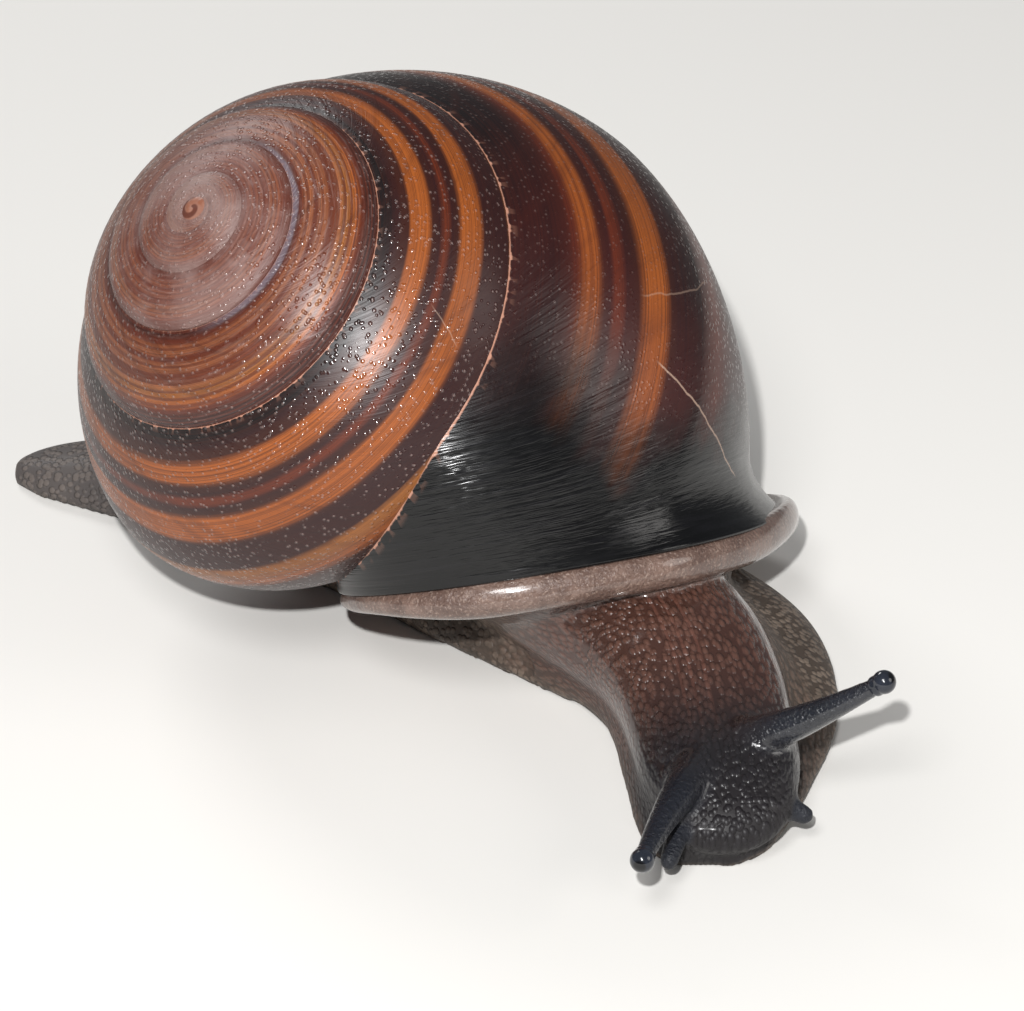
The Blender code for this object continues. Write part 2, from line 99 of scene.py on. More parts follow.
# ---- the studio ----
VIEW_FROM, VIEW_AT, LENS, SENSOR = (-210.3, -204.4, 188.6), (-9.0, -10.0, 13.7), 235.5, 36.0
FLOOR_HALF, FLOOR_DROP = 2.0, 0.0001                      # metres
SKY, SKY_STRENGTH = (0.9, 0.94, 1.0, 1.0), 0.14
LIT = (-5, -5, 12)
LIGHTS = (                      # name, place, width of the disc, watts, colour
    ("key", (-190, -120, 260), 90, 0.36, (1, 1, 1)),
    ("flash", (-215, -185, 225), 9, 1.35, (1, 1, 1)),
    ("fill", (120, -260, 160), 160, 0.18, (1.0, 0.97, 0.93)),
    ("rim", (60, 240, 180), 120, 0.28, (1, 1, 1)),
)

FLESH_NODES = ("mantle_collar", "trunk", "neck", "head", "foot_front", "foot_middle", "foot_tail",
               "tentacle_upper_left", "tentacle_upper_right", "tentacle_lower_left", "tentacle_lower_right")


# ---- helpers for forms ----

def smooth(low, high, value):
    part = min(1.0, max(0.0, (value - low) / (high - low)))
    return part * part * (3.0 - 2.0 * part)


def power_of(value, power):
    return math.copysign(abs(value) ** power, value)


def curve_at(rows, place):
    """The Catmull-Rom value of every column at a place from 0 to 1 along the rows."""
    place = min(max(place, 0.0), 1.0) * (len(rows) - 1)
    i = min(int(place), len(rows) - 2)
    u = place - i
    near = [rows[max(0, min(len(rows) - 1, i + j))] for j in (-1, 0, 1, 2)]
    return [0.5 * (2 * b + u * (c - a) + u * u * (2 * a - 5 * b + 4 * c - d) + u ** 3 * (3 * b - a - 3 * c + d))
            for a, b, c, d in zip(*near)]


def new_piece(name, bm):
    mesh = bpy.data.meshes.new(name)
    bm.to_mesh(mesh)
    bm.free()
    mesh.shade_smooth()
    piece = bpy.data.objects.new(name, mesh)
    bpy.context.scene.collection.objects.link(piece)
    return piece


def rolled(place, along, around, capped=True):
    """A grid rolled into a closed tube: place(u, a) gives each point, u from 0 to 1 along the tube and
    a in radians round it. Returns the bmesh with the values u and a kept in two layers."""
    bm = bmesh.new()
    bmesh.ops.create_grid(bm, x_segments=along, y_segments=around, size=1.0)
    keep_u = bm.verts.layers.float.new("along")
    keep_a = bm.verts.layers.float.new("round")
    seam = []
    for vert in bm.verts:
        u, v = 0.5 * (vert.co.x + 1), 0.5 * (vert.co.y + 1)
        if v < 1e-6 or v > 1 - 1e-6:
            seam.append(vert)
            v = 0.0
        vert[keep_u], vert[keep_a] = u, v
        vert.co = Vector(place(u, math.tau * v)) * MM
    bmesh.ops.remove_doubles(bm, verts=seam, dist=1e-7)
    if capped:
        bmesh.ops.holes_fill(bm, edges=[edge for edge in bm.edges if edge.is_boundary])
        bmesh.ops.triangulate(bm, faces=[face for face in bm.faces if len(face.verts) > 4])
    bmesh.ops.recalc_face_normals(bm, faces=bm.faces)
    return bm


# ---- shell ----

def growth(turn):
    return math.exp(GROWTH * turn - GROWTH_FADE * turn * turn)


def ring_point(turn, phi, swell=0.0):
    across = power_of(math.cos(phi), 2 / RING_POWER)
    along = power_of(math.sin(phi), 2 / RING_POWER)
    size = growth(turn)
    rise = size ** RISE_POWER
    young = (rise ** 4 + (YOUNG_RISE * size) ** 4) ** 0.25
    wide, tall = RING_WIDE * across, RING_TALL * along
    radius = (RING_RADIUS + wide * math.cos(RING_TILT) - tall * math.sin(RING_TILT)) * size
    height = -RING_DEPTH * rise + wide * math.sin(RING_TILT) * rise + tall * math.cos(RING_TILT) * young
    radius += swell * math.cos(phi)
    height += swell * math.sin(phi)
    height -= LAST_DROP * max(0.0, 1 + turn / DROP_TURNS) ** 2
    angle = -math.tau * turn
    local = Vector((radius * math.cos(angle), radius * math.sin(angle), height))
    return SHELL_FRAME @ local + APEX


def above_lip(point):
    return (point - LIP_POINT).dot(LIP_NORMAL)


def lip_turn(phi, height):
    """The turn at which the surface stands at this height over the plane of the lip."""
    early, late = -0.42, 0.16
    for _ in range(34):
        middle = 0.5 * (early + late)
        if above_lip(ring_point(middle, phi)) > height:
            early = middle
        else:
            late = middle
    return 0.5 * (early + late)


LIP_TURNS = [lip_turn(math.tau * i / RING_STEPS, 0.0) for i in range(RING_STEPS)]


def lip_turn_at(phi):
    return LIP_TURNS[round(phi / math.tau * RING_STEPS) % RING_STEPS]


def signed_degrees(phi):
    angle = math.degrees(phi)
    return angle - 360 if angle > 180 else angle


def in_plane(point):
    outward = point - LIP_CENTRE
    outward -= LIP_NORMAL * outward.dot(LIP_NORMAL)
    return outward.normalized()


def flared(point, phi):
    height = max(0.0, above_lip(point))
    angle = signed_degrees(phi)
    reach = FLARE * smooth(38, -35, angle) * smooth(-175, -115, angle)
    return point + in_plane(point) * reach * max(0.0, 1 - height / FLARE_DEPTH) ** 2


def shell_turn(u, phi):
    """Rings stand in radial planes on the old whorls and lean into the lip's plane on the last one."""
    old = OLD_STEPS / (OLD_STEPS + LAST_STEPS)
    if u < old:
        return FIRST_TURN + (LAST_WHORL - FIRST_TURN) * (u / old) ** OLD_CROWDING
    part = (u - old) / (1 - old)
    end = lip_turn_at(phi)
    return LAST_WHORL + (end - LAST_WHORL) * (1 - (1 - part) ** LAST_CROWDING)


def rolled_edge(phi, step):
    """The lip's rounded edge and a short stretch of its inner face."""
    turn = lip_turn_at(phi)
    point = flared(ring_point(turn, phi), phi)
    inward = -in_plane(point)
    if step < EDGE_CURVE:
        a = math.pi * (step + 1) / (EDGE_CURVE + 1)
        return point + inward * LIP_WALL * 0.5 * (1 - math.cos(a)) - LIP_NORMAL * LIP_WALL * 0.4 * math.sin(a)
    depth = step - EDGE_CURVE + 1
    return point + inward * (LIP_WALL + 0.9 * depth) + LIP_NORMAL * 0.8 * depth


def shell_place(u, phi):
    total = OLD_STEPS + LAST_STEPS + EDGE_STEPS
    step = round(u * total)
    if step > OLD_STEPS + LAST_STEPS:
        point = rolled_edge(phi, step - OLD_STEPS - LAST_STEPS - 1)
    else:
        turn = shell_turn(step / (OLD_STEPS + LAST_STEPS), phi)
        point = ring_point(turn, phi)
        if turn > FLARE_TURN:
            point = flared(point, phi)
    point.z = max(point.z, SHELL_FLOOR)
    return point


SUTURE_TURNS = (-5.6, -4.5, -4.0, -3.7, -3.5, -3.2, -3.0, -2.6, -2.2, -1.8, -1.4, -1.0, -0.8, -0.4, -0.2, -0.1,
                -0.07, -0.04, -0.02, 0.0, 0.02)
SUTURE_DEGREES = (130, 115.5, 102, 92.5, 84, 78, 75.5, 73, 70.5, 67.5, 64.5, 61.5, 60, 57, 55.5, 54.5,
                  56.5, 61, 65.5, 72.5, 89)


def suture_phi(turn):
    """Where, in degrees round the ring, the whorl meets the older one."""
    return float(np.interp(turn, SUTURE_TURNS, SUTURE_DEGREES))


def make_shell():
    total = OLD_STEPS + LAST_STEPS + EDGE_STEPS
    bm = rolled(shell_place, total, RING_STEPS)
    keep_u, keep_a = bm.verts.layers.float["along"], bm.verts.layers.float["round"]
    turn_of = bm.verts.layers.float.new("turn")
    below_of = bm.verts.layers.float.new("below")
    seam_of = bm.verts.layers.float.new("seam")
    age_of = bm.verts.layers.float.new("age")
    for vert in bm.verts:
        phi = math.tau * vert[keep_a]
        step = round(vert[keep_u] * total)
        inside = step > OLD_STEPS + LAST_STEPS
        turn = lip_turn_at(phi) if inside else shell_turn(step / (OLD_STEPS + LAST_STEPS), phi)
        suture = suture_phi(turn)
        vert[turn_of] = turn
        vert[below_of] = (suture - signed_degrees(phi)) * 60 / suture
        vert[seam_of] = suture - signed_degrees(phi)
        vert[age_of] = lip_turn_at(phi) - turn
    return new_piece("shell_whorls", bm)


def make_nucleus():
    bm = bmesh.new()
    bmesh.ops.create_uvsphere(bm, u_segments=64, v_segments=48, radius=NUCLEUS_RADIUS * MM)
    coil = bm.verts.layers.float.new("coil")
    for vert in bm.verts:
        x, y = vert.co.x / MM, vert.co.y / MM
        away = math.hypot(x, y)
        vert[coil] = math.cos(math.atan2(y, x) + math.tau * away / COIL_PITCH) if away > COIL_EYE else 0.0
        vert.co *= 1 + COIL_RELIEF * vert[coil] * min(1.0, away / 0.3)
    place = Matrix.Translation((APEX + SHELL_FRAME @ Vector((0, 0, NUCLEUS_SINK))) * MM) @ SHELL_FRAME.to_4x4()
    bmesh.ops.transform(bm, matrix=place @ Matrix.Diagonal((1, 1, NUCLEUS_FLATNESS, 1)), verts=bm.verts)
    return new_piece("shell_nucleus", bm)


# ---- flesh ----

def along_path(rows, u):
    here = Vector(curve_at(rows, u)[:2])
    ahead = Vector(curve_at(rows, min(1, u + 0.004))[:2]) - Vector(curve_at(rows, max(0, u - 0.004))[:2])
    ahead.normalize()
    return here, ahead


def foot_place(u, a):
    x, y, half, crown = curve_at(FOOT, u)
    _, ahead = along_path(FOOT, u)
    side = Vector((ahead.y, -ahead.x, 0))
    if a > math.pi:
        return Vector((x, y, 0)) + side * half * 0.94 * math.cos(a)
    low = FOOT_EDGE * 0.55
    rise = low + (crown - low) * math.sin(a) ** 1.25
    return Vector((x, y, rise)) + side * half * power_of(math.cos(a), 0.85)


def neck_place(u, a):
    x, y, z, half, rise, depth = curve_at(NECK, u)
    ends = [Vector(curve_at(NECK, v)[:3]) for v in (max(0, u - 0.004), min(1, u + 0.004))]
    ahead = (ends[1] - ends[0]).normalized()
    side = Vector((ahead.y, -ahead.x, 0)).normalized()
    up = side.cross(ahead)
    up = up if up.z > 0 else -up
    lift = power_of(math.sin(a), 2 / NECK_POWER)
    return (Vector((x, y, z)) + side * half * power_of(math.cos(a), 2 / NECK_POWER)
            + up * lift * (rise if lift > 0 else depth))


def lip_plane_height(x, y):
    offset = Vector((x, y, 0)) - LIP_POINT
    return -(offset.x * LIP_NORMAL.x + offset.y * LIP_NORMAL.y) / LIP_NORMAL.z + LIP_POINT.z


def trunk_place(u, a):
    way = Vector((math.cos(a), math.sin(a), 0))
    base = TRUNK_FOOT + Vector((way.x * TRUNK_FOOT_HALF[0], way.y * TRUNK_FOOT_HALF[1], 0))
    brim = TRUNK_BRIM + Vector((way.x * TRUNK_BRIM_HALF[0], way.y * TRUNK_BRIM_HALF[1], 0))
    brim.z = max(lip_plane_height(brim.x, brim.y) - 1.0, TRUNK_FOOT.z + 1.0)
    point = base.lerp(brim, u ** 1.7)
    point.z = base.z + (brim.z - base.z) * u
    return point


COLLAR_LEVELS = ((0.5, 1.6), (0.1, 0.7), (-0.15, 0.25), (-0.6, 0.02), (-1.1, 0.0), (-1.6, 0.18),
                 (-1.9, 0.6), (-COLLAR_DEPTH, 1.2), (-COLLAR_DEPTH, 2.4))


def collar_place(u, phi):
    height, inset = curve_at(COLLAR_LEVELS, u)
    point = flared(ring_point(lip_turn_at(phi), phi), phi)
    share = 1 - (1 - COLLAR_THIN_END) * smooth(30, 58, math.degrees(phi)) * smooth(200, 150, math.degrees(phi))
    angle = signed_degrees(phi)
    brim = COLLAR_BRIM * smooth(-18, -50, angle) * smooth(-115, -75, angle) * smooth(1.2, 0.3, inset)
    point = point + in_plane(point) * (brim - inset)
    point += LIP_NORMAL * ((height if height > 0 else height * share) + brim * 0.9)
    point.z = max(point.z, COLLAR_FLOOR)
    return point


def bent(root, bend, tip, u):
    root, bend, tip = Vector(root), Vector(bend), Vector(tip)
    return root * (1 - u) ** 2 + bend * 2 * u * (1 - u) + tip * u * u


def feeler_place(spec, upper):
    root, bend, tip, thick, thin = spec[:5]

    def place(u, a):
        v = min(u / FEELER_CAP, 1.0)
        point = bent(root, bend, tip, v)
        way = (bent(root, bend, tip, min(1, v + 0.02)) - bent(root, bend, tip, max(0, v - 0.02))).normalized()
        side = way.cross(Vector((0, 0, 1))).normalized()
        up = side.cross(way)
        if upper:
            radius = thin + (thick - thin) * (1 - v) ** 1.1
        else:
            radius = thick + (thin - thick) * v
        if u > FEELER_CAP:
            tail = (u - FEELER_CAP) / FEELER_CAP_SHARE
            point = point + way * radius * math.sin(tail * math.pi / 2)
            radius *= max(0.02, math.cos(tail * math.pi / 2))
        return point + side * radius * math.cos(a) + up * radius * math.sin(a)
    return place


def skirt_place(u, a):
    """The flank between the neck and the foot's edge, which falls in one slope."""
    v = SKIRT_START + SKIRT_REACH * u
    x, y, z, _, rise, _ = curve_at(NECK, v)
    foot = min((curve_at(FOOT, 0.55 + 0.45 * k / 60) for k in range(61)),
               key=lambda row: (row[0] - x) ** 2 + (row[1] - y) ** 2 + 0.2 * (row[1] - y) ** 2)
    _, ahead = along_path(NECK, v)
    side = Vector((ahead.y, -ahead.x, 0))
    near = math.cos(a) > 0
    bend_power = 1.05 if near else 1.5
    height = (z + rise * 0.8) * power_of(max(0.0, math.sin(a)), bend_power)
    lean = min(1.0, height / (z + rise))
    centre = Vector((foot[0], foot[1], 0)).lerp(Vector((x, y, 0)), lean)
    spread = foot[2] * (0.97 if near else 0.95 - 0.30 * smooth(0.55, 0.84, u))
    width = spread * power_of(math.cos(a), bend_power)
    if a > math.pi:
        height, width = 0.0, spread * 0.95 * math.cos(a)
    return centre + side * width + Vector((0, 0, max(0.3, height)))


def spine_points():
    """The middle line from the tail to the nose: the foot's behind the shell, the neck's before it."""
    rows = [Vector((row[0], row[1], 0)) for row in FOOT[:6]] + [Vector((row[0], row[1], 0)) for row in NECK]
    rows.append(rows[-1] * 2 - rows[-2])
    return [Vector(curve_at([tuple(row) for row in rows], k / 240)) for k in range(241)]


def spine_place(points):
    """For each point, its length along the middle line and its distance to the side of it."""
    line = np.array([tuple(p)[:2] for p in spine_points()])
    steps = np.linalg.norm(np.diff(line, axis=0), axis=1)
    run = np.concatenate(([0.0], np.cumsum(steps)))
    ahead = np.gradient(line, axis=0)
    ahead /= np.linalg.norm(ahead, axis=1)[:, None]
    length, side = np.empty(len(points)), np.empty(len(points))
    for k in range(0, len(points), 4000):
        part = points[k:k + 4000, :2]
        nearest = ((part[:, None, :] - line[None]) ** 2).sum(axis=2).argmin(axis=1)
        offset = part - line[nearest]
        way = ahead[nearest]
        length[k:k + 4000] = run[nearest] + (offset * way).sum(axis=1)
        side[k:k + 4000] = offset[:, 0] * way[:, 1] - offset[:, 1] * way[:, 0]
    return length, side


def feeler_share(points):
    """1 on the feelers, fading to 0 in the head round their roots."""
    share = np.zeros(len(points))
    specs = list(UPPER_FEELERS.values()) + list(LOWER_FEELERS.values())
    for root, bend, tip, thick, thin in (spec[:5] for spec in specs):
        for k in range(41):
            u = k / 40
            centre = np.array(bent(root, bend, tip, u))
            radius = thick + (thin - thick) * u
            away = np.linalg.norm(points - centre, axis=1)
            near = np.clip((radius * 1.5 - away) / (radius * 0.4), 0, 1) * min(1.0, max(0.0, u - 0.12) / 0.3)
            share = np.maximum(share, near)
    return share


def fade(low, high, values):
    part = np.clip((values - low) / (high - low), 0, 1)
    return part * part * (3 - 2 * part)


def make_skin():
    """All forms of the flesh, grown into one closed skin and eased where they meet."""
    forms = bmesh.new()
    parts = [rolled(foot_place, 150, 72), rolled(neck_place, 90, 64), rolled(trunk_place, 24, 96),
             rolled(skirt_place, 60, 64), rolled(collar_place, 36, RING_STEPS)]
    parts += [rolled(feeler_place(spec, True), 48, 28) for spec in UPPER_FEELERS.values()]
    parts += [rolled(feeler_place(spec, False), 24, 20) for spec in LOWER_FEELERS.values()]
    for part in parts:
        mesh = bpy.data.meshes.new("form")
        part.to_mesh(mesh)
        part.free()
        forms.from_mesh(mesh)
        bpy.data.meshes.remove(mesh)
    skin = new_piece("skin", forms)
    remesh = skin.modifiers.new("Remesh", "REMESH")
    remesh.mode = "VOXEL"
    remesh.voxel_size = SKIN_VOXEL * MM
    merged = bpy.data.meshes.new_from_object(skin.evaluated_get(bpy.context.evaluated_depsgraph_get()))
    skin.modifiers.clear()
    skin.data = merged
    bm = bmesh.new()
    bm.from_mesh(merged)
    points = np.array([tuple(vert.co) for vert in bm.verts]) / MM
    length, side = spine_place(points)
    feeler = feeler_share(points)
    lip_height = (points - np.array(LIP_POINT)) @ np.array(LIP_NORMAL)
    nape = run_at_y(-9.0)
    folds = (length > nape) & (feeler < 0.02) & (points[:, 2] > 0.9) & (lip_height < -COLLAR_DEPTH - 0.9)
    ease(bm, np.flatnonzero(folds), FOLD_EASING)
    roots = (length > nape) & (feeler < 0.5) & (points[:, 2] > 1.6) & (lip_height < -COLLAR_DEPTH - 0.9)
    ease(bm, np.flatnonzero(roots), ROOT_EASING)
    ease(bm, np.flatnonzero(feeler < 0.5), BODY_EASING)
    ease(bm, np.arange(len(points)), SKIN_EASING)
    for vert in bm.verts:
        vert.co.z = 0.0 if vert.co.z < SOLE_HEIGHT * MM else vert.co.z
    points = np.array([tuple(vert.co) for vert in bm.verts]) / MM
    bm.to_mesh(merged)
    bm.free()
    lip_height = (points - np.array(LIP_POINT)) @ np.array(LIP_NORMAL)
    end = run_at_y(NECK[-1][1])
    front = (length - nape) / (end - nape)
    up = points[:, 2]
    on_collar = fade(-COLLAR_DEPTH - 0.45, -COLLAR_DEPTH + 0.15, lip_height)
    keep(merged, "collar", on_collar * (up > 0.7) * (lip_height < 2.0))
    dark_above = 1.6 - 1.5 * fade(0.75, 1.0, front)
    keep(merged, "dark", np.maximum(feeler, fade(0.42, 0.80, front) * fade(-0.2, dark_above, up)))
    keep(merged, "ruddy", fade(-0.25, 0.1, front) * fade(0.4, 3.8, up + 0.25 * side)
         * fade(9.2, 5.6, side) * fade(5.6, 4.0, -side))
    keep(merged, "beaded", fade(-0.35, 0.0, front) * fade(0.3, 1.1, up)
         * fade(9.5, 8.0, side) * fade(7.0, 5.6, -side))
    keep(merged, "feeler", feeler)
    keep(merged, "nose", fade(0.86, 0.95, front))
    keep(merged, "length", length)
    keep(merged, "side", side)
    merged.shade_smooth()
    return skin


def run_at_y(y):
    """The length along the middle line where it passes this y."""
    line = spine_points()
    total = 0.0
    for here, there in zip(line, line[1:]):
        if here.y < y:
            break
        total += (there - here).length
    return total


def ease(bm, chosen, times):
    bm.verts.ensure_lookup_table()
    verts = [bm.verts[int(k)] for k in chosen]
    for _ in range(times):
        bmesh.ops.smooth_vert(bm, verts=verts, factor=0.5, use_axis_x=True, use_axis_y=True, use_axis_z=True)


def keep(mesh, name, values):
    layer = mesh.attributes.new(name, "FLOAT", "POINT")
    layer.data.foreach_set("value", np.asarray(values, dtype=np.float32))


def make_bulb(name, spec):
    """The bulb at the end of an upper feeler, slightly longer than wide, with the eye in its end."""
    root, bend, tip, _, _, radius = spec
    way = (Vector(tip) - bent(root, bend, tip, 0.9)).normalized()
    turn = way.to_track_quat("Z", "X").to_matrix().to_4x4()
    bm = bmesh.new()
    bmesh.ops.create_uvsphere(bm, u_segments=48, v_segments=32, radius=1.0)
    eye = bm.verts.layers.float.new("eye")
    for vert in bm.verts:
        vert[eye] = vert.co.z
        neck = smooth(-0.45, -1.0, vert.co.z)
        vert.co.z -= 0.35 * neck
        vert.co.xy *= 1 + 0.5 * neck
    bmesh.ops.transform(bm, matrix=Matrix.Translation(Vector(tip) * MM) @ turn @ Matrix.Scale(radius * MM, 4),
                        verts=bm.verts)
    return new_piece(name, bm)


# ---- materials ----

class Val:
    """A number, colour or vector socket with arithmetic."""

    def __init__(self, tree, socket):
        self.tree, self.socket = tree, socket

    def _math(self, operation, other=None, swap=False):
        first, second = (other, self) if swap else (self, other)
        inputs = {0: first} if other is None else {0: first, 1: second}
        return self.tree.node("ShaderNodeMath", {"operation": operation}, inputs)

    def __add__(self, other): return self._math("ADD", other)
    def __radd__(self, other): return self._math("ADD", other, True)
    def __sub__(self, other): return self._math("SUBTRACT", other)
    def __rsub__(self, other): return self._math("SUBTRACT", other, True)
    def __mul__(self, other): return self._math("MULTIPLY", other)
    def __rmul__(self, other): return self._math("MULTIPLY", other, True)
    def __truediv__(self, other): return self._math("DIVIDE", other)
    def __pow__(self, other): return self._math("POWER", other)
    def sin(self): return self._math("SINE")
    def abs(self): return self._math("ABSOLUTE")
    def most(self, other): return self._math("MAXIMUM", other)


class Finish:
    """A material, and one method that adds any node to it."""

    def __init__(self, name, **fixed):
        self.material = bpy.data.materials.new(name)
        self.material.use_nodes = True
        self.nodes, self.links = self.material.node_tree.nodes, self.material.node_tree.links
        self.shader = self.nodes["Principled BSDF"]
        for key, value in fixed.items():
            self.shader.inputs[key.replace("_", " ")].default_value = value

    def node(self, kind, settings=None, inputs=None, output=0):
        made = self.nodes.new(kind)
        for key, value in (settings or {}).items():
            if key == "stops":
                self._stops(made.color_ramp, value)
            else:
                setattr(made, key, value)
        for key, value in (inputs or {}).items():
            socket = made.inputs[key]
            if isinstance(value, Val):
                self.links.new(value.socket, socket)
            else:
                socket.default_value = value
        return Val(self, made.outputs[output])

    def _stops(self, ramp, stops):
        while len(ramp.elements) < len(stops):
            ramp.elements.new(0.5)
        for element, (place, colour) in zip(ramp.elements, stops):
            element.position = place
            element.color = (*colour, 1.0)

    def feed(self, name, value):
        self.links.new(value.socket, self.shader.inputs[name])

    def attribute(self, name):
        return self.node("ShaderNodeAttribute", {"attribute_name": name}, output=2)

    def place(self):
        return self.node("ShaderNodeTexCoord", output=3)

    def vector(self, x, y, z):
        return self.node("ShaderNodeCombineXYZ", None, {0: x, 1: y, 2: z})

    def noise(self, vector, scale, detail=3.0, rough=0.5):
        return self.node("ShaderNodeTexNoise", None,
                         {"Vector": vector, "Scale": scale, "Detail": detail, "Roughness": rough})

    def cells(self, vector, scale):
        return self.node("ShaderNodeTexVoronoi", None, {"Vector": vector, "Scale": scale})

    def between(self, share, first, second):
        """A number between two others, where mix gives a colour."""
        return self.node("ShaderNodeMix", {"data_type": "FLOAT"}, {0: share, 2: first, 3: second})

    def mix(self, share, first, second):
        return self.node("ShaderNodeMix", {"data_type": "RGBA"},
                         {0: share, 6: first if isinstance(first, Val) else (*first, 1),
                          7: second if isinstance(second, Val) else (*second, 1)}, 2)

    def step(self, value, low, high):
        return self.node("ShaderNodeMapRange", {"interpolation_type": "SMOOTHSTEP"},
                         {0: value, 1: low, 2: high, 3: 0.0, 4: 1.0})

    def ramp(self, value, stops):
        return self.node("ShaderNodeValToRGB", {"stops": stops}, {0: value})

    def bump(self, height, strength, distance):
        return self.node("ShaderNodeBump", None, {"Height": height, "Strength": strength, "Distance": distance})


def srgb(r, g, b):
    """A display colour from 0 to 255 as scene-linear values."""
    return tuple(((c / 255 + 0.055) / 1.055) ** 2.4 if c > 10 else c / 255 / 12.92 for c in (r, g, b))


# the charcoal grey here serves only the painted sheen near the lip
JET, BLACK, SHEEN_GREY = srgb(4, 4, 5), srgb(7, 6, 8), srgb(26, 25, 29)
UMBER, PURPLE = srgb(50, 20, 13), srgb(38, 13, 15)
RUST, ORANGE, AMBER = srgb(94, 37, 16), srgb(156, 82, 30), srgb(140, 84, 36)
TAN = srgb(148, 88, 54)
# the pale bloom colour is also painted on the granules' tops as a painted highlight
THREAD, BLOOM_AND_GLINT, MAUVE, LILAC = srgb(190, 138, 116), srgb(160, 140, 135), srgb(102, 55, 43), srgb(112, 102, 112)
FLOOR_COLOUR = srgb(225, 223, 219)
BAND_SPAN = 150.0               # degrees below the suture that the bands' ramp covers


def band_stops(rows):
    return [(place / BAND_SPAN, colour) for place, colour in rows]


OLD_BANDS = band_stops([(0, PURPLE), (2, UMBER), (6, RUST), (10, TAN), (15, RUST), (18, TAN), (25, RUST), (28, TAN),
                        (32, AMBER), (39, ORANGE), (43, RUST), (48, UMBER), (58, PURPLE), (66, RUST), (150, UMBER)])
MAIN_BANDS = band_stops([(0, BLACK), (4, BLACK), (7, PURPLE), (9, UMBER), (11.2, UMBER), (12.8, ORANGE),
                         (18.5, ORANGE), (20.2, UMBER), (23, PURPLE), (24.4, RUST), (26, RUST), (27.2, PURPLE),
                         (30, UMBER),
                         (31.6, ORANGE), (39, ORANGE), (41.2, PURPLE), (47, PURPLE), (54.5, PURPLE), (57, AMBER),
                         (64, AMBER), (72, ORANGE), (77, UMBER), (86, PURPLE), (104, UMBER), (120, RUST),
                         (128, UMBER), (150, UMBER)])
LAST_BANDS = band_stops([(0, BLACK), (12.5, BLACK), (15.5, UMBER), (17.5, RUST), (19.5, ORANGE), (22.5, ORANGE),
                         (24.6, UMBER), (26.6, PURPLE), (27.6, RUST), (29.4, RUST), (31, PURPLE), (34, UMBER),
                         (36.6, ORANGE), (42, ORANGE), (44.4, UMBER), (47, PURPLE), (58, BLACK), (62, UMBER),
                         (70, RUST), (82, UMBER), (88, PURPLE), (104, BLACK), (120, UMBER), (150, BLACK)])


SCRATCHES = (                   # turn at the upper end, lean, degrees below the suture: from, to; strength
    (-0.252, 0.00034, 40, 91, 0.50), (-0.280, -0.00094, 34, 68, 0.20), (-1.22, 0.0011, 24, 40, 0.25),
)


